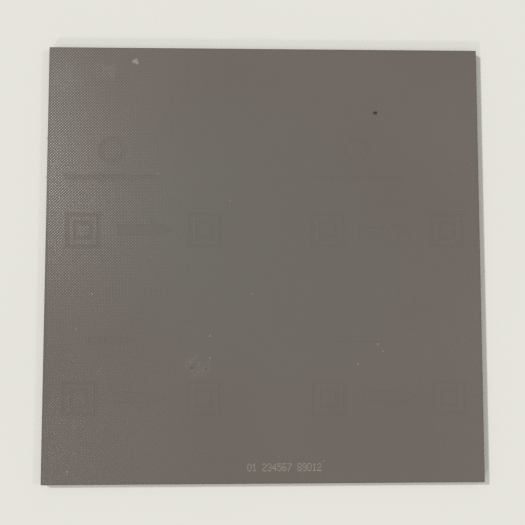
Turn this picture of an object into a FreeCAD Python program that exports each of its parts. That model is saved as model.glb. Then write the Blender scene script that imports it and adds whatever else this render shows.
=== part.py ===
import FreeCAD, Part
import math
import os

# A square carpet tile, lying pile down with its moulded back up, as tiles are packed and stacked.
# Millimetres. X runs along the rows of loops, Y across them and Z up. The origin is on the floor,
# under the middle of the tile.

# The tile, as the cutting die leaves it
TILE_SIDE = 500.0
CORNER_RADIUS = 0.6

# The loop pile: rows of yarn loops, side by side
PILE_HEIGHT = 3.5
ROW_PITCH = 3.175  # the tufting gauge
ROW_GAP = 0.2  # between two rows, where each is widest
VALLEY_DEPTH = 2.3  # from the tips of the loops to where the roots of two rows press together
TIP_FACETS = 6  # the flat strips of a row's half-round tip, an even number

# The cloth that the yarn is tufted through
CLOTH_THICKNESS = 0.5

# The moulded back
BACKING_THICKNESS = 2.5
RIM_ROUNDING = 0.3  # where the upper face meets the cut sides


def cut_layer(bottom, thickness):
    """A slab of the tile's outline, with its four upright corners rounded as the die cuts them."""
    half = TILE_SIDE / 2
    slab = Part.makeBox(TILE_SIDE, TILE_SIDE, thickness, FreeCAD.Vector(-half, -half, bottom))
    uprights = [edge for edge in slab.Edges if abs(edge.tangentAt(edge.FirstParameter).z) > 0.5]
    return slab.makeFillet(CORNER_RADIUS, uprights)


def row_outline(near_side, row_width):
    """A row's outline, from the valley on its near side round its tip to its far flank."""
    end = -TILE_SIDE / 2
    middle = near_side + row_width / 2
    radius = (row_width - ROW_GAP) / 2
    points = [FreeCAD.Vector(end, near_side, VALLEY_DEPTH)]
    for step in range(TIP_FACETS + 1):
        turn = math.pi * step / TIP_FACETS
        across = middle - radius * math.cos(turn)
        height = radius - radius * math.sin(turn)
        points.append(FreeCAD.Vector(end, across, height))
    return points


def rows_of_loops():
    """One long solid with a round-tipped rib for each row, which reaches from the floor to the cloth."""
    half = TILE_SIDE / 2
    row_count = round(TILE_SIDE / ROW_PITCH)
    row_width = TILE_SIDE / row_count
    corners = []
    for row in range(row_count):
        corners += row_outline(-half + row * row_width, row_width)
    corners.append(FreeCAD.Vector(-half, half, VALLEY_DEPTH))
    corners.append(FreeCAD.Vector(-half, half, PILE_HEIGHT))
    corners.append(FreeCAD.Vector(-half, -half, PILE_HEIGHT))
    section = Part.Face(Part.makePolygon(corners + corners[:1]))
    return section.extrude(FreeCAD.Vector(TILE_SIDE, 0, 0))


def loop_pile():
    """The rows, cut to the tile's outline."""
    return rows_of_loops().common(cut_layer(0, PILE_HEIGHT)).removeSplitter()


def primary_cloth():
    """The thin cloth, face to face with the pile below it."""
    return cut_layer(PILE_HEIGHT, CLOTH_THICKNESS)


def backing():
    """The moulded back, face to face with the cloth, with the rim of its upper face rounded."""
    slab = cut_layer(PILE_HEIGHT + CLOTH_THICKNESS, BACKING_THICKNESS)
    top = slab.BoundBox.ZMax
    rim = [edge for edge in slab.Edges if edge.BoundBox.ZMin > top - RIM_ROUNDING]
    return slab.makeFillet(RIM_ROUNDING, rim)


pieces = {
    "loop_pile": loop_pile(),
    "primary_cloth": primary_cloth(),
    "backing": backing(),
}

os.makedirs("parts", exist_ok=True)
for name, shape in pieces.items():
    solid = shape.Solids[0]
    solid.exportStep(f"parts/{name}.step")
    size = solid.BoundBox
    print(f"{name}: {len(shape.Solids)} solid, valid {solid.isValid()}, faces {len(solid.Faces)}, "
          f"{size.XLength:.2f} x {size.YLength:.2f} x {size.ZLength:.2f}, z from {size.ZMin:.2f}, "
          f"volume {solid.Volume / 1000:.1f} cm3")
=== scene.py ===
import math

import bmesh
import bpy
import numpy as np
from mathutils import Matrix, Vector


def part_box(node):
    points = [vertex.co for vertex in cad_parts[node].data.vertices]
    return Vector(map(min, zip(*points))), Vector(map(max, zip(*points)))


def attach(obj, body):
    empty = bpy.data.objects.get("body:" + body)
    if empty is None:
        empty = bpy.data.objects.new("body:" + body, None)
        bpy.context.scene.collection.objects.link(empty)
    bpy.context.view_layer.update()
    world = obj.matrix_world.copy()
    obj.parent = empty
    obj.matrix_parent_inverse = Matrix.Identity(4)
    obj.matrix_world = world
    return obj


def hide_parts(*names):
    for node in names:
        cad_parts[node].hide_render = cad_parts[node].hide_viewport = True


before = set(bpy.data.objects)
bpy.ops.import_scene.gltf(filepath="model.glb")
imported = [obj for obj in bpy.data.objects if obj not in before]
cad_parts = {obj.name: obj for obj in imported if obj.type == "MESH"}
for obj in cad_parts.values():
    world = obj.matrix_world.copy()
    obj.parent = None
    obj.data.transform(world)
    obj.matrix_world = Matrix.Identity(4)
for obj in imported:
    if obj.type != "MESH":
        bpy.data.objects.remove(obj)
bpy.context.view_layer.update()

MM = 0.001


# The primary cloth: one thin sheet of spun-bonded fibre, half a millimetre thick, which the yarn is
# stitched through. The moulded back holds it from above, and it shows as a pale line at the cut sides.

class Shade:
    """A socket of a material's nodes, which works in a sum as a number does."""

    def __init__(self, tree, socket):
        self.tree = tree
        self.socket = socket

    def node(self, kind, settings=None, inputs=None, output=0):
        """Adds a node, sets it up, feeds its sockets with numbers or shades, and gives one output."""
        made = self.tree.nodes.new(kind)
        for name, value in (settings or {}).items():
            setattr(made, name, value)
        for name, value in (inputs or {}).items():
            if isinstance(value, Shade):
                self.tree.links.new(value.socket, made.inputs[name])
            else:
                made.inputs[name].default_value = value
        return Shade(self.tree, made.outputs[output])

    def maths(self, operation, *others):
        """A sum, product or other step with this shade and those that follow."""
        terms = dict(enumerate((self, *others)))
        return self.node("ShaderNodeMath", {"operation": operation}, terms)

    def __add__(self, other):
        return self.maths("ADD", other)

    def __sub__(self, other):
        return self.maths("SUBTRACT", other)

    def __rsub__(self, other):
        return (self * -1).maths("ADD", other)

    def __mul__(self, other):
        return self.maths("MULTIPLY", other)

    __radd__ = __add__
    __rmul__ = __mul__

    def noise(self, scale, detail=2.0, roughness=0.5):
        """Noise from 0 to 1 at this place, with so many waves to the metre."""
        grain = {"Vector": self, "Scale": scale, "Detail": detail, "Roughness": roughness}
        return self.node("ShaderNodeTexNoise", inputs=grain)

    def ease(self, low, high):
        """0 at low, 1 at high and a smooth way between them."""
        limits = {"Value": self, "From Min": low, "From Max": high}
        return self.node("ShaderNodeMapRange", {"interpolation_type": "SMOOTHSTEP"}, limits)

    def blend(self, first, second):
        """A colour that goes from the first to the second as this shade goes from 0 to 1."""
        first, second = (end if isinstance(end, Shade) else (*end, 1) for end in (first, second))
        return self.node("ShaderNodeMix", {"data_type": "RGBA"}, {0: self, 6: first, 7: second}, 2)

    def scaled(self, axes):
        """This place with each axis multiplied, which draws a pattern out where the number is small."""
        return self.node("ShaderNodeMapping", inputs={"Vector": self, "Scale": axes})

    def axis(self, number):
        """One of this place's three numbers."""
        return self.node("ShaderNodeSeparateXYZ", inputs={"Vector": self}, output=number)

    def bump(self, strength=1.0, distance=0.1 * MM):
        """A surface that this shade pushes out and in."""
        relief = {"Height": self, "Strength": strength, "Distance": distance}
        return self.node("ShaderNodeBump", inputs=relief)


def new_finish(name, **constants):
    """A material, its shader's inputs, and the place on the piece, which its patterns follow."""
    finish = bpy.data.materials.new(name)
    finish.use_nodes = True
    shader = finish.node_tree.nodes["Principled BSDF"]
    for socket, value in constants.items():
        shader.inputs[socket.replace("_", " ")].default_value = value
    coordinates = finish.node_tree.nodes.new("ShaderNodeTexCoord")
    return finish, shader.inputs, Shade(finish.node_tree, coordinates.outputs["Object"])


def feed(shade, socket):
    """Joins a shade to a shader's input."""
    shade.tree.links.new(shade.socket, socket)


NOISE_SPREAD = (0.3, 0.7)  # where most of the noise lies
CLOTH_SHADE = (0.30, 0.29, 0.26)
CLOTH_PALE = (0.52, 0.50, 0.46)
FIBRE_RUN = (1.0, 0.25, 1.0)


def cloth_finish():
    """Spun fibres that run mostly one way, thicker in clumps."""
    finish, shader, place = new_finish("spun_bonded_cloth", Specular_IOR_Level=0.2, Sheen_Weight=0.15)
    fibres = place.scaled(FIBRE_RUN).noise(2600, 4)
    clumps = place.noise(320, 3)
    tone = fibres * 0.6 + clumps * 0.4
    feed(tone.ease(*NOISE_SPREAD).blend(CLOTH_SHADE, CLOTH_PALE), shader["Base Color"])
    feed(clumps * 0.15 + 0.8, shader["Roughness"])
    feed(fibres.bump(0.7), shader["Normal"])
    return finish


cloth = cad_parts["primary_cloth"]
cloth.data.materials.clear()
cloth.data.materials.append(cloth_finish())
cloth_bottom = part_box("primary_cloth")[0].z


# The loop pile: charcoal nylon yarn, one length for each row, which the needles stitch down through
# the cloth in loops of one height. The tile lies on the tips of the loops.

tile_low, tile_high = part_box("loop_pile")
TILE_SIDE = tile_high.x - tile_low.x
PILE_HEIGHT = cloth_bottom - tile_low.z
TUFTING_GAUGE = 3.175 * MM
ROW_COUNT = round(TILE_SIDE / TUFTING_GAUGE)
ROW_WIDTH = TILE_SIDE / ROW_COUNT
LOOPS_IN_ROW = 135
LOOP_LENGTH = TILE_SIDE / LOOPS_IN_ROW
BANDS = 4  # pieces that share the rows, so that none of them grows too heavy
YARN_SIDES = 5
BEND_STEPS = 3
YARN_RADIUS = LOOP_LENGTH * 0.235  # along the row
YARN_HALF_WIDTH = ROW_WIDTH * 0.46  # across the row, where the yarn spreads
BEND_RADIUS = LOOP_LENGTH * 0.245  # from the middle of the loop to the middle of its yarn
LOOP_FULLNESS = 1.3  # how much wider a loop is near its tip than a plain half-round arch
LOOP_LEAN = 0.3 * MM
LOOP_CRUSH = 0.1  # the most that a loop is pressed down, as a share of its height
A_HAIR = 0.001 * YARN_RADIUS
YARN_DARK = (0.045, 0.046, 0.05)
YARN_FLECK = (0.17, 0.17, 0.175)
FLECK_RUN = (0.3, 1.0, 1.0)
STRANDS_TO_METRE = 260.0


def one_loop():
    """The first loop of the first row: an arch of thick yarn, closed at both feet."""
    loop = bmesh.new()
    spread = Matrix.Diagonal((1, YARN_HALF_WIDTH / YARN_RADIUS, 1, 1))
    foot = Matrix.Translation((-BEND_RADIUS, 0, 0)) @ spread
    bmesh.ops.create_circle(loop, cap_ends=True, segments=YARN_SIDES, radius=YARN_RADIUS, matrix=foot)
    around = {"cent": (0, 0, 0), "axis": (0, 1, 0), "angle": -math.pi, "steps": BEND_STEPS}
    bmesh.ops.spin(loop, geom=loop.verts[:] + loop.edges[:] + loop.faces[:], **around)
    below_feet = [point for point in loop.verts if point.co.z < -A_HAIR]
    bmesh.ops.scale(loop, verts=below_feet, vec=(LOOP_FULLNESS, 1, 1))
    stretch = PILE_HEIGHT / (BEND_RADIUS + YARN_RADIUS)
    bmesh.ops.scale(loop, verts=loop.verts, vec=(1, 1, stretch))
    first_place = (tile_low.x + LOOP_LENGTH / 2, tile_low.y + ROW_WIDTH / 2, cloth_bottom)
    bmesh.ops.translate(loop, verts=loop.verts, vec=first_place)
    bmesh.ops.recalc_face_normals(loop, faces=loop.faces)
    mesh = bpy.data.meshes.new("loop")
    loop.to_mesh(mesh)
    loop.free()
    return mesh


def add_piece(name, mesh, finish):
    """Puts a piece in the scene and on the tile's one body."""
    piece = bpy.data.objects.new(name, mesh)
    bpy.context.scene.collection.objects.link(piece)
    piece.data.materials.append(finish)
    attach(piece, "root")
    return piece


def settle(piece):
    """Makes a piece's modifiers a part of its mesh."""
    finished = piece.evaluated_get(bpy.context.evaluated_depsgraph_get())
    made = bpy.data.meshes.new_from_object(finished)
    piece.modifiers.clear()
    piece.data = made


def repeat(piece, count, step):
    """Sets so many of a mesh side by side."""
    array = piece.modifiers.new("repeat", "ARRAY")
    array.count = count
    array.use_relative_offset = False
    array.use_constant_offset = True
    array.constant_offset_displace = step


def lean_loops(mesh, loop_points, first_row):
    """Staggers the rows, leans each loop its own way and presses some flatter, as in use."""
    points = np.empty(len(mesh.vertices) * 3, np.float32)
    mesh.vertices.foreach_get("co", points)
    loops = points.reshape(-1, loop_points, 3)
    row = first_row + np.arange(len(loops)) // LOOPS_IN_ROW
    loops[:, :, 0] += ((row % 2 - 0.5) * LOOP_LENGTH / 2)[:, None]
    drop = cloth_bottom - loops[:, :, 2:]
    lean = chance.uniform(-LOOP_LEAN, LOOP_LEAN, (len(loops), 1, 2))
    loops[:, :, :2] += lean * (drop / PILE_HEIGHT) ** 2
    loops[:, :, 2:] += drop * chance.uniform(0, LOOP_CRUSH, (len(loops), 1, 1))
    np.clip(loops[:, :, :2], tile_low.x, tile_high.x, out=loops[:, :, :2])
    mesh.vertices.foreach_set("co", points)


def yarn_finish():
    """Fine twisted strands, paler in flecks that run along the rows."""
    finish, shader, place = new_finish("charcoal_yarn", Specular_IOR_Level=0.25, Sheen_Weight=0.3)
    fleck = place.scaled(FLECK_RUN).noise(430, 2)
    twist = {"Vector": place, "Scale": STRANDS_TO_METRE, "Distortion": 3.0, "Detail": 2.0}
    strands = place.node("ShaderNodeTexWave", {"bands_direction": "DIAGONAL"}, twist)
    tone = fleck.ease(0.35, 0.7) * 0.7 + strands * 0.3
    feed(tone.blend(YARN_DARK, YARN_FLECK), shader["Base Color"])
    feed(fleck * 0.1 + 0.85, shader["Roughness"])
    feed(strands.bump(0.8), shader["Normal"])
    return finish


yarn = yarn_finish()
loop_mesh = one_loop()
chance = np.random.default_rng(7)
for band in range(BANDS):
    first_row = ROW_COUNT * band // BANDS
    rows = ROW_COUNT * (band + 1) // BANDS - first_row
    rows_mesh = loop_mesh.copy()
    rows_mesh.transform(Matrix.Translation((0, first_row * ROW_WIDTH, 0)))
    pile = add_piece(f"loop_rows_{band + 1}", rows_mesh, yarn)
    repeat(pile, LOOPS_IN_ROW, (LOOP_LENGTH, 0, 0))
    repeat(pile, rows, (0, ROW_WIDTH, 0))
    settle(pile)
    lean_loops(pile.data, len(loop_mesh.vertices), first_row)
    pile.data.shade_smooth()
    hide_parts("loop_pile")


# The loose ends: where the die cuts through the loops, short ends of yarn stay at the sides, and two
# longer tufts stick out on the left. They hang from the same rows of stitches.

END_RADIUS = 0.22 * MM
END_SIDES = 5
END_STEPS = 3
END_TAPER = 0.75  # of each step against the one before it
END_SAG = 0.35
TUFTS = ((-250.0, 144.0, 2.4), (-250.0, 98.5, 2.4))  # where each leaves the side, in millimetres
TUFT_LENGTH = 4.4 * MM
TUFT_TURNS = (-0.5, 0.1, 0.6)  # a filament's turn in radians, and its step along the side in millimetres
TUFT_RISE = 0.3  # how the filaments lie one above another, for each step along the side
TUFT_SHORTENING = 0.2
TUFT_LIFT = 0.1
SHORT_ENDS = 120
SHORT_END_REACH = 0.98  # of the way to the corners
SHORT_END_HEIGHTS = (0.5, 3.0)  # the least and the most, in millimetres, and so for the lengths
SHORT_END_LENGTHS = (0.3, 0.8)
SHORT_END_TURNS = (-0.8, 0.8)
SHORT_END_LIFTS = (-0.3, 0.1)


def add_end(ends, foot, heading, length, lift):
    """One filament that leaves a cut side and tapers off as it bends down."""
    outward = Vector((math.cos(heading), math.sin(heading), lift)).normalized()
    stand = Matrix.Translation(foot) @ outward.to_track_quat("Z", "Y").to_matrix().to_4x4()
    ring = bmesh.ops.create_circle(ends, segments=END_SIDES, radius=END_RADIUS, matrix=stand)["verts"]
    edges = list({edge for point in ring for edge in point.link_edges})
    bmesh.ops.contextual_create(ends, geom=edges)
    for step in range(END_STEPS):
        grown = bmesh.ops.extrude_edge_only(ends, edges=edges)["geom"]
        ring = [part for part in grown if isinstance(part, bmesh.types.BMVert)]
        edges = [part for part in grown if isinstance(part, bmesh.types.BMEdge)]
        middle = sum((point.co for point in ring), Vector()) / END_SIDES
        bmesh.ops.scale(ends, verts=ring, vec=(END_TAPER,) * 3, space=Matrix.Translation(-middle))
        bend = outward + Vector((0, 0, -END_SAG * step))
        bmesh.ops.translate(ends, verts=ring, vec=bend.normalized() * length / END_STEPS)
    bmesh.ops.contextual_create(ends, geom=edges)


def loose_ends():
    """The two tufts of three filaments each, and short ends all round."""
    ends = bmesh.new()
    half = TILE_SIDE / 2
    for x, y, z in TUFTS:
        for turn in TUFT_TURNS:
            foot = Vector((x, y + turn, z + TUFT_RISE * turn)) * MM + Vector((END_RADIUS, 0, 0))
            length = TUFT_LENGTH * (1 - TUFT_SHORTENING * abs(turn))
            add_end(ends, foot, math.pi + turn, length, TUFT_LIFT)
    for number in range(SHORT_ENDS):
        side = number % 4 * math.pi / 2
        along = chance.uniform(-SHORT_END_REACH, SHORT_END_REACH) * half
        height = chance.uniform(*SHORT_END_HEIGHTS) * MM
        foot = Matrix.Rotation(side, 3, "Z") @ Vector((half - END_RADIUS, along, height))
        heading = side + chance.uniform(*SHORT_END_TURNS)
        length = chance.uniform(*SHORT_END_LENGTHS) * MM
        add_end(ends, foot, heading, length, chance.uniform(*SHORT_END_LIFTS))
    bmesh.ops.recalc_face_normals(ends, faces=ends.faces)
    mesh = bpy.data.meshes.new("ends")
    ends.to_mesh(mesh)
    ends.free()
    return mesh


stray = add_piece("stray_ends", loose_ends(), yarn)
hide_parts("loop_pile")


# The moulded back: soft grey-brown plastic, cast hot on a belt that presses a fine diamond emboss and
# plain marks into it, with the cloth laid on its other side. The die then cuts the sides.

back_low, back_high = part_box("backing")
EMBOSS_PITCH = 2.33 * MM
EMBOSS_DEPTH = 0.2 * MM
FAINT_DEPTH = 0.17 * MM  # what is left of the emboss at the rim and where a mark is pressed over it
EMBOSS_TURN = math.radians(45)
CELLS_ACROSS = math.ceil(TILE_SIDE * math.sqrt(2) / EMBOSS_PITCH)
WHOLE_CELL = 0.99  # of a cell's area, the least that still counts as a whole cell
CREST = back_high.z - 0.04 * MM  # a little low, so that the ink on it stays inside the solid's box
CORNER_RADIUS = 0.6 * MM
CORNER_POINTS = 4
RIM_ROUNDING = 0.3 * MM
ROUNDING_TURNS = (30, 60, 90)  # degrees from level at each line of the rounding
PLAIN_RIM = 0.15 * MM
OUTLINE_STEPS = 16
CUT_REACH = 0.02 * MM  # a corner this near to a cut is taken as on it
MARK_DEPTH = 0.12 * MM
EMBOSSED, SMOOTH = 0, 1  # the order in which the back gets its two finishes


def keep_inside(sheet, point, outward):
    """Cuts off what lies past one line of the tile's outline."""
    everything = sheet.verts[:] + sheet.edges[:] + sheet.faces[:]
    bmesh.ops.bisect_plane(sheet, geom=everything, plane_co=point, plane_no=outward,
                           clear_outer=True, dist=CUT_REACH)


def diamond_sheet():
    """A flat sheet of square cells, turned to stand on their corners, cut to the tile inside its rim."""
    sheet = bmesh.new()
    turned = Matrix.Translation((0, 0, CREST)) @ Matrix.Rotation(EMBOSS_TURN, 4, "Z")
    bmesh.ops.create_grid(sheet, x_segments=CELLS_ACROSS, y_segments=CELLS_ACROSS,
                          size=CELLS_ACROSS * EMBOSS_PITCH / 2, matrix=turned)
    corner = TILE_SIDE / 2 - RIM_ROUNDING - PLAIN_RIM - CORNER_RADIUS
    for step in range(OUTLINE_STEPS):
        turn = 2 * math.pi * step / OUTLINE_STEPS
        outward = Vector((math.cos(turn), math.sin(turn), 0))
        reach = corner * (abs(outward.x) + abs(outward.y)) + CORNER_RADIUS
        keep_inside(sheet, outward * reach, outward)
    return sheet


def rim_line(sheet, half_side, height):
    """A closed line round the tile, with its corners rounded, as edges of the sheet's mesh."""
    points = []
    for quarter in range(4):
        for step in range(CORNER_POINTS + 1):
            turn = math.pi / 2 * (quarter + step / CORNER_POINTS)
            corner = math.pi / 2 * quarter + math.pi / 4
            x = (half_side - CORNER_RADIUS) * math.copysign(1, math.cos(corner))
            y = (half_side - CORNER_RADIUS) * math.copysign(1, math.sin(corner))
            place = (x + CORNER_RADIUS * math.cos(turn), y + CORNER_RADIUS * math.sin(turn), height)
            points.append(sheet.verts.new(place))
    return [sheet.edges.new(pair) for pair in zip(points, points[1:] + points[:1])]


def add_sides(sheet):
    """Adds the plain rim, rounds it over, takes the cut sides down to the cloth and closes them."""
    cut_cells = [line for line in sheet.edges if line.is_boundary]
    inner = TILE_SIDE / 2 - RIM_ROUNDING
    edge = rim_line(sheet, inner, CREST)
    bmesh.ops.triangle_fill(sheet, edges=cut_cells + edge, normal=(0, 0, 1))
    lines = [(inner + RIM_ROUNDING * math.sin(turn), CREST - RIM_ROUNDING * (1 - math.cos(turn)))
             for turn in map(math.radians, ROUNDING_TURNS)]
    outermost = lines[-1][0]
    lines.append((outermost, back_low.z))
    last = inner
    for half_side, height in lines:
        made = bmesh.ops.extrude_edge_only(sheet, edges=edge)["geom"]
        points = [part for part in made if isinstance(part, bmesh.types.BMVert)]
        edge = [part for part in made if isinstance(part, bmesh.types.BMEdge)]
        bmesh.ops.scale(sheet, verts=points, vec=(half_side / last, half_side / last, 1))
        for point in points:
            point.co.z = height
        last = half_side
    bmesh.ops.contextual_create(sheet, geom=edge)


# The marks: each one's sizes, in the order that its function takes them, and its places, in millimetres
SQUARES = (38, 2.4)
SQUARE_ROWS = (36.5, -154.5)
SQUARE_COLUMNS = (-208.5, -68.5, 73.5, 211.5)
INNER_SQUARE = 0.52  # of the outer square's side
ARROW = (38, 11, 22)
ARROW_PLACES = ((-151, -153.3), (-149, 37), (128, 34.6), (132, -153.3))
HEAD_SPREAD = 1.9  # of the arrow's thickness
RING = (15, 3.5)
RING_PLACES = ((-175.9, 129.2), (108.1, 129.2))
RING_POINTS = 24
LONG_STRIP = (110, 4, 3.4)
LONG_STRIP_PLACES = ((-176, 98), (108, 98))
SHORT_STRIP = (54, 6, 3.5)
SHORT_STRIP_PLACES = ((-174, -88.5), (110, -88.5))


def rectangle(centre, width, height):
    """Corners, counter-clockwise, about a centre in millimetres."""
    x, y = centre
    signs = ((-1, -1), (1, -1), (1, 1), (-1, 1))
    return [Vector((x + sx * width / 2, y + sy * height / 2, 0)) * MM for sx, sy in signs]


def round_outline(centre, radius):
    """Corners close enough together to pass for a circle."""
    x, y = centre
    turns = [2 * math.pi * step / RING_POINTS for step in range(RING_POINTS)]
    return [Vector((x + radius * math.cos(turn), y + radius * math.sin(turn), 0)) * MM for turn in turns]


def arrow_head(foot, length, width):
    """A triangle that points along the rows, from the middle of its flat side."""
    x, y = foot
    points = ((x, y - width / 2), (x + length, y), (x, y + width / 2))
    return [Vector((*point, 0)) * MM for point in points]


def squares_mark(centre, side, stroke):
    """A square outline round a smaller one. Every mark is a list of outlines, with their holes."""
    mark = []
    for outer in (side, side * INNER_SQUARE):
        hole = outer - 2 * stroke
        mark.append((rectangle(centre, outer, outer), rectangle(centre, hole, hole)))
    return mark


def ring_mark(centre, radius, stroke):
    """A plain ring."""
    return [(round_outline(centre, radius), round_outline(centre, radius - stroke))]


def arrow_mark(centre, shaft, thickness, head):
    """A thick arrow that points along the rows."""
    x, y = centre
    foot = (x + shaft / 2, y)
    return [(rectangle(centre, shaft, thickness), None),
            (arrow_head(foot, head, thickness * HEAD_SPREAD), None)]


def strip_mark(centre, width, height, gap):
    """A row of short dashes, each about twice as long as it is high."""
    x, y = centre
    count = round(width / (height * 2 + gap))
    step = width / count
    first = x - width / 2 + step / 2
    return [(rectangle((first + dash * step, y), step - gap, height), None) for dash in range(count)]


plain_marks = [squares_mark((x, y), *SQUARES) for y in SQUARE_ROWS for x in SQUARE_COLUMNS]
plain_marks += [arrow_mark(place, *ARROW) for place in ARROW_PLACES]
plain_marks += [ring_mark(place, *RING) for place in RING_PLACES]
plain_marks += [strip_mark(place, *LONG_STRIP) for place in LONG_STRIP_PLACES]
plain_marks += [strip_mark(place, *SHORT_STRIP) for place in SHORT_STRIP_PLACES]


def inside(point, corners):
    """Whether a point lies left of every side of a counter-clockwise outline."""
    sides = zip(corners, corners[1:] + corners[:1])
    return all((b.x - a.x) * (point.y - a.y) > (b.y - a.y) * (point.x - a.x) for a, b in sides)


def near_line(point, start, end, reach):
    """Whether a point lies within reach of the line between two others."""
    along = end - start
    share = min(max((point - start).dot(along) / along.length_squared, 0), 1)
    return (point - start - along * share).length < reach


def cut_along(sheet, faces, corners):
    """Cuts the cells along an outline, and gives the faces round it."""
    level = Vector((0, 0, CREST))
    for start, end in zip(corners, corners[1:] + corners[:1]):
        along = (end - start).normalized()
        crossed = []
        for face in faces:
            if near_line(face.calc_center_median() - level, start, end, EMBOSS_PITCH):
                crossed.append(face)
        geometry = set(crossed)
        for face in crossed:
            geometry.update(face.edges)
            geometry.update(face.verts)
        side = Vector((along.y, -along.x, 0))
        cut = bmesh.ops.bisect_plane(sheet, geom=list(geometry), plane_co=start, plane_no=side,
                                     dist=CUT_REACH)
        new_faces = {part for part in cut["geom"] if isinstance(part, bmesh.types.BMFace)}
        faces = {face for face in faces if face.is_valid} | new_faces
    return faces


def press_mark(sheet, mark):
    """Cuts a mark's outlines into the sheet and sinks what lies inside them."""
    corners = [corner for outline, hole in mark for corner in outline]
    middle = sum(corners, Vector()) / len(corners) + Vector((0, 0, CREST))
    reach = max((corner - middle).length for corner in corners) + EMBOSS_PITCH
    faces = {face for face in sheet.faces if (face.calc_center_median() - middle).length < reach}
    for outline, hole in mark:
        faces = cut_along(sheet, faces, outline)
        if hole:
            faces = cut_along(sheet, faces, hole)
    pressed = []
    for face in faces:
        spot = face.calc_center_median()
        if any(inside(spot, outline) and not (hole and inside(spot, hole)) for outline, hole in mark):
            pressed.append(face)
    sunk = bmesh.ops.extrude_face_region(sheet, geom=pressed)["geom"]
    points = [part for part in sunk if isinstance(part, bmesh.types.BMVert)]
    bmesh.ops.translate(sheet, verts=points, vec=(0, 0, -MARK_DEPTH))
    bmesh.ops.delete(sheet, geom=pressed, context="FACES")


def moulded_back():
    """The whole casting: cells pressed to pits, marks pressed smooth, rim, sides and underside."""
    sheet = diamond_sheet()
    for mark in plain_marks:
        press_mark(sheet, mark)
    whole = WHOLE_CELL * EMBOSS_PITCH ** 2
    cells = []
    for face in sheet.faces:
        if face.calc_area() > whole and face.calc_center_median().z >= CREST:
            cells.append(face)
    add_sides(sheet)
    for face in sheet.faces:
        face.material_index = SMOOTH
    steepness = EMBOSS_DEPTH / EMBOSS_PITCH * math.sqrt(2)  # from a cell's corner to its middle
    pressed = bmesh.ops.poke(sheet, faces=cells, offset=-steepness, use_relative_offset=True)
    for face in pressed["faces"]:
        face.material_index = EMBOSSED
    bmesh.ops.recalc_face_normals(sheet, faces=sheet.faces)
    mesh = bpy.data.meshes.new("back")
    sheet.to_mesh(mesh)
    sheet.free()
    mesh.shade_flat()
    return mesh


def pits(place):
    """How deep a round pit and a flat-sided one are at this place, 1 in the middle of each cell."""
    to_cells = {"Vector": place, "Rotation": (0, 0, -EMBOSS_TURN), "Scale": (1 / EMBOSS_PITCH,) * 3,
                "Location": (CELLS_ACROSS / 2, CELLS_ACROSS / 2, 0)}
    cell = place.node("ShaderNodeMapping", inputs=to_cells)
    across, along = ((cell.axis(axis).maths("FRACT") * 2 - 1).maths("ABSOLUTE") for axis in (0, 1))
    return (1 - across * across) * (1 - along * along), 1 - across.maths("MAXIMUM", along)


# Each spot's place and reach, in millimetres
PALE_SPECKS = ((-151.6, 233.9, 3.0), (-148.6, 232.4, 2.7), (-149.4, 235.6, 2.2), (-196.2, -36.7, 1.2),
               (-213.7, -76.3, 1.0), (-62.0, -84.5, 1.3), (-61.9, -109.4, 1.1), (130.0, -94.1, 1.2),
               (135.6, -102.1, 1.0), (106.8, -116.7, 1.3), (-220.9, -235.3, 1.3), (-39.7, 70.3, 1.0),
               (-122.7, 101.4, 1.1), (-14.2, -36.9, 1.0), (67.0, -225.0, 0.9))
DARK_SPECKS = ((130.2, 174.7, 2.9), (128.6, 174.6, 2.2), (-82.2, -120.6, 1.3), (-66.4, -121.7, 1.2))
DUSTY_PATCHES = ((-183.0, 224.6, 16), (-232.0, 214.0, 24), (-76.0, -118.0, 20))
GREYER_PATCHES = ((-30.0, 35.0, 190), (40.0, -20.0, 150))
SPOT_CORE = 0.4  # of a spot's reach, where it is as strong as in its middle

# How far an edge wanders, and with how many waves to the metre
SPECK_EDGE = (1.2 * MM, 900)
DUST_EDGE = (12 * MM, 60)
GREYER_EDGE = (60 * MM, 6)


def spots(place, marked, wander, scale):
    """1 in the middle of each spot and 0 off it, with an edge that wanders."""
    drift = place.node("ShaderNodeTexNoise", inputs={"Vector": place, "Scale": scale}, output=1)
    moved = {0: drift, 1: (wander, wander, 0), 2: place}
    moved = place.node("ShaderNodeVectorMath", {"operation": "MULTIPLY_ADD"}, moved)
    mask = 0
    for x, y, reach in marked:
        middle = (x * MM + wander / 2, y * MM + wander / 2, back_high.z)
        away = place.node("ShaderNodeVectorMath", {"operation": "DISTANCE"}, {0: moved, 1: middle}, 1)
        mask = away.ease(reach * MM, reach * SPOT_CORE * MM).maths("MAXIMUM", mask)
    return mask


PLASTIC_DARK = (0.131, 0.1115, 0.0975)
PLASTIC_PALE = (0.1485, 0.1275, 0.113)
PLASTIC_GREYER = (0.1345, 0.125, 0.110)
CUT_DARK = (0.17, 0.155, 0.14)
CUT_PALE = (0.24, 0.225, 0.205)
# painted shade for the rounded rim, darker than the plastic
PAINTED_RIM_SHADE = (0.06, 0.052, 0.047)
DUST = (0.30, 0.285, 0.265)
PALE_SPECK = (0.50, 0.475, 0.455)
DARK_SPECK = (0.012, 0.018, 0.026)

# How much of the plastic each of these covers, where it is strongest
GREYER_COVER = 0.9
RIM_SHADE_COVER = 0.35
DUST_COVER = 0.13
PALE_COVER = 0.4
DARK_COVER = 0.95

# Distances from the middle between which the cut sides and the painted shade on the rim set in
CUT_START = (TILE_SIDE / 2 - 0.08 * MM, TILE_SIDE / 2 - 0.02 * MM)
RIM_SHADE_START = (TILE_SIDE / 2 - 1.6 * MM, TILE_SIDE / 2 - 0.4 * MM)
KNIFE_RUN = (1, 1, 0.15)
PLASTIC_ROUGHNESS = 0.28
PLASTIC_GRAIN = 0.006 * MM


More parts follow.
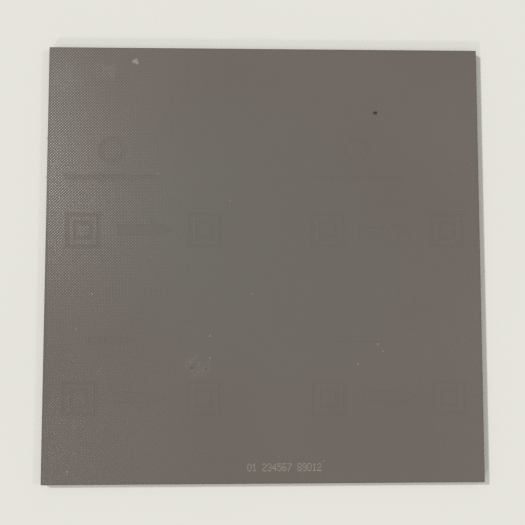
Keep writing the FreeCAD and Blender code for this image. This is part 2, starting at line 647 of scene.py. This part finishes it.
def back_finish(embossed):
    """Satin plastic whose tone drifts softly, with the specks, scuffs and dust of a used tile, and painted
    shade on its rounded rim.
    """
    name = "embossed_plastic" if embossed else "smooth_plastic"
    finish, shader, place = new_finish(name, Specular_IOR_Level=0.7)

    # the plastic's drifting tone, then a greyer, greener tone laid over the middle of the tile
    drift = place.noise(5, 2)
    grain = place.noise(2200, 3)
    tone = drift.ease(*NOISE_SPREAD) * 0.4 + grain.ease(*NOISE_SPREAD) * 0.6
    colour = tone.blend(PLASTIC_DARK, PLASTIC_PALE)
    greyer = spots(place, GREYER_PATCHES, *GREYER_EDGE)
    colour = (greyer * GREYER_COVER).blend(colour, PLASTIC_GREYER)

    # the cut sides, with the knife's upright lines, and painted shade: the rim above them darker where it
    # rounds over
    from_middle = place.node("ShaderNodeVectorMath", {"operation": "ABSOLUTE"}, {0: place})
    furthest = from_middle.axis(0).maths("MAXIMUM", from_middle.axis(1))
    cut = furthest.ease(*CUT_START)
    knife = place.scaled(KNIFE_RUN).noise(1800, 3)
    colour = cut.blend(colour, knife.ease(*NOISE_SPREAD).blend(CUT_DARK, CUT_PALE))
    # painted shade: a dark line along the rim, where it rounds over
    rim_shade = furthest.ease(*RIM_SHADE_START) * (1 - cut)
    colour = (rim_shade * RIM_SHADE_COVER).blend(colour, PAINTED_RIM_SHADE)

    # smears of dust, and specks on top of them
    smears = place.noise(240, 6, 0.75).ease(0.4, 0.75)
    dust = spots(place, DUSTY_PATCHES, *DUST_EDGE) * smears
    colour = (dust * DUST_COVER).blend(colour, DUST)
    pale = spots(place, PALE_SPECKS, *SPECK_EDGE)
    colour = (pale * PALE_COVER).blend(colour, PALE_SPECK)
    dark = spots(place, DARK_SPECKS, *SPECK_EDGE)
    colour = (dark * DARK_COVER).blend(colour, DARK_SPECK)
    feed(colour, shader["Base Color"])
    feed(grain * 0.04 + cut * 0.4 + dust * 0.2 + PLASTIC_ROUGHNESS, shader["Roughness"])

    # the grain, and the emboss: pressed cells get round floors, and bare places a faint print of it
    relief = (grain + knife * cut) * PLASTIC_GRAIN
    round_pit, flat_pit = pits(place)
    if embossed:
        relief = relief + (flat_pit - round_pit) * EMBOSS_DEPTH
    else:
        relief = relief - round_pit * (1 - cut) * FAINT_DEPTH
    feed(relief.bump(distance=1.0), shader["Normal"])
    return finish


back = add_piece("moulded_back", moulded_back(), back_finish(True))
back.data.materials.append(back_finish(False))
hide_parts("backing")


# The printing: a plain counting row of digits in pale ink, put on in dots by a jet at the end of the
# line, near one side of the back. It is a film that dries on the plastic.

DIGIT_DOTS = {
    "0": "01110 10001 10001 10001 10001 10001 01110",
    "1": "00100 01100 00100 00100 00100 00100 01110",
    "2": "01110 10001 00001 00110 01000 10000 11111",
    "3": "01110 10001 00001 00110 00001 10001 01110",
    "4": "00010 00110 01010 10010 11111 00010 00010",
    "5": "11111 10000 11110 00001 00001 10001 01110",
    "6": "01110 10000 10000 11110 10001 10001 01110",
    "7": "11111 00001 00010 00100 00100 01000 01000",
    "8": "01110 10001 10001 01110 10001 10001 01110",
    "9": "01110 10001 10001 01111 00001 00001 01110",
}
PRINTED_ROW = "01 234567 89012"
ROW_START = Vector((-18.8, -228.1, 0)) * MM
DOT_STEP = Vector((0.94, 1.26, 0)) * MM
DOT_RADIUS = 0.43 * MM
DOT_POINTS = 8
COLUMNS_TO_DIGIT = 6  # five for the dots and one between two digits
INK_THICKNESS = 0.02 * MM
INK_THIN = (0.33, 0.30, 0.25)
INK_FULL = (0.50, 0.455, 0.385)


def lay_on_back(piece):
    """Drops a flat piece on to the embossed face, which it follows, and gives it some thickness."""
    drop = piece.modifiers.new("drop", "SHRINKWRAP")
    drop.target = back
    drop.wrap_method = "PROJECT"
    drop.use_project_z = True
    drop.use_negative_direction = True
    drop.use_positive_direction = False
    drop.offset = 0
    skin = piece.modifiers.new("skin", "SOLIDIFY")
    skin.thickness = INK_THICKNESS
    skin.offset = 1
    settle(piece)


def printed_dots():
    """Flat dots for every digit of the row, still above the back."""
    dots = bmesh.new()
    above = Vector((0, 0, back_high.z + MM))
    for number, character in enumerate(PRINTED_ROW):
        for line, bits in enumerate(DIGIT_DOTS.get(character, "").split()):
            for column, bit in enumerate(bits):
                if bit == "1":
                    step = Vector((COLUMNS_TO_DIGIT * number + column, -line, 0)) * DOT_STEP
                    place = Matrix.Translation(ROW_START + step + above)
                    bmesh.ops.create_circle(dots, cap_ends=True, cap_tris=True, segments=DOT_POINTS,
                                            radius=DOT_RADIUS, matrix=place)
    mesh = bpy.data.meshes.new("dots")
    dots.to_mesh(mesh)
    dots.free()
    return mesh


def ink_finish():
    """Pale ink that took better in some places than in others."""
    finish, shader, place = new_finish("pale_ink", Specular_IOR_Level=0.3)
    patchy = place.noise(1500, 3)
    feed(patchy.ease(*NOISE_SPREAD).blend(INK_THIN, INK_FULL), shader["Base Color"])
    feed(patchy * 0.2 + 0.6, shader["Roughness"])
    return finish


ink = add_piece("printed_digits", printed_dots(), ink_finish())
lay_on_back(ink)


# The room for the picture: a plain pale floor, a camera that looks down on the tile, and soft lamps.

FLOOR_SIZE = 60.0
FLOOR_SQUARES = 8
FLOOR_DARK = (0.755, 0.755, 0.725)
FLOOR_PALE = (0.78, 0.78, 0.75)
CAMERA_PLACE = Vector((-14.0, -31.1, 603.2)) * MM + Vector((0, 0, back_high.z))
CAMERA_TILT = (2.88, -1.12, -0.01)  # degrees
CAMERA_LENS = 36.07
CAMERA_SENSOR = 36.0
CAMERA_NEAR = 0.01
LAMP_TINT = (1.0, 0.985, 0.955)
SKY_LIGHT = 0.485
HORIZON_LIGHT = 0.35  # what the sky has more at the horizon
HORIZON_BAND = 0.3


def floor_finish():
    """A dull pale floor, a little cloudy."""
    finish, shader, place = new_finish("pale_floor", Roughness=0.9, Specular_IOR_Level=0.0)
    cloud = place.noise(2.0, 2)
    feed(cloud.blend(FLOOR_DARK, FLOOR_PALE), shader["Base Color"])
    return finish


floor_shape = bmesh.new()
bmesh.ops.create_grid(floor_shape, x_segments=FLOOR_SQUARES, y_segments=FLOOR_SQUARES, size=FLOOR_SIZE / 2)
floor_mesh = bpy.data.meshes.new("floor")
floor_shape.to_mesh(floor_mesh)
floor_shape.free()
floor_mesh.materials.append(floor_finish())
floor = bpy.data.objects.new("floor", floor_mesh)
bpy.context.scene.collection.objects.link(floor)

camera = bpy.data.objects.new("camera", bpy.data.cameras.new("camera"))
camera.data.lens = CAMERA_LENS
camera.data.sensor_width = CAMERA_SENSOR
camera.data.clip_start = CAMERA_NEAR
camera.location = CAMERA_PLACE
camera.rotation_euler = [math.radians(turn) for turn in CAMERA_TILT]
bpy.context.scene.collection.objects.link(camera)
bpy.context.scene.camera = camera


def add_lamp(name, towards, elevation, spread, light_on_floor):
    """A far soft lamp on that side, in degrees, which gives the floor so many watts a square metre."""
    side, height = math.radians(towards), math.radians(elevation)
    level = math.cos(height)
    away = Vector((math.cos(side) * level, math.sin(side) * level, math.sin(height)))
    lamp = bpy.data.lights.new(name, "SUN")
    lamp.angle = math.radians(spread)
    lamp.energy = light_on_floor / math.sin(height)
    lamp.color = LAMP_TINT
    holder = bpy.data.objects.new(name, lamp)
    holder.rotation_euler = away.to_track_quat("Z", "Y").to_euler()
    bpy.context.scene.collection.objects.link(holder)


add_lamp("key_lamp", towards=148, elevation=33, spread=4, light_on_floor=1.1)
add_lamp("side_lamp", towards=218, elevation=33, spread=6, light_on_floor=0.13)
add_lamp("front_lamp", towards=242, elevation=21, spread=4, light_on_floor=0.24)
add_lamp("right_lamp", towards=5, elevation=30, spread=7, light_on_floor=0.19)

world = bpy.data.worlds.new("soft_daylight")
world.use_nodes = True
sky = world.node_tree.nodes["Background"].inputs
sky["Color"].default_value = (*LAMP_TINT, 1)
coordinates = world.node_tree.nodes.new("ShaderNodeTexCoord")
upward = Shade(world.node_tree, coordinates.outputs["Generated"]).axis(2)
feed(upward.ease(HORIZON_BAND, 0.0) * HORIZON_LIGHT + SKY_LIGHT, sky["Strength"])
world.cycles.sampling_method = "NONE"  # a sky as even as this gives less grain when only bounces find it
bpy.context.scene.world = world
bpy.context.scene.view_settings.view_transform = "Standard"
bpy.context.scene.cycles.use_denoising = False  # it would wipe the fine emboss away as grain
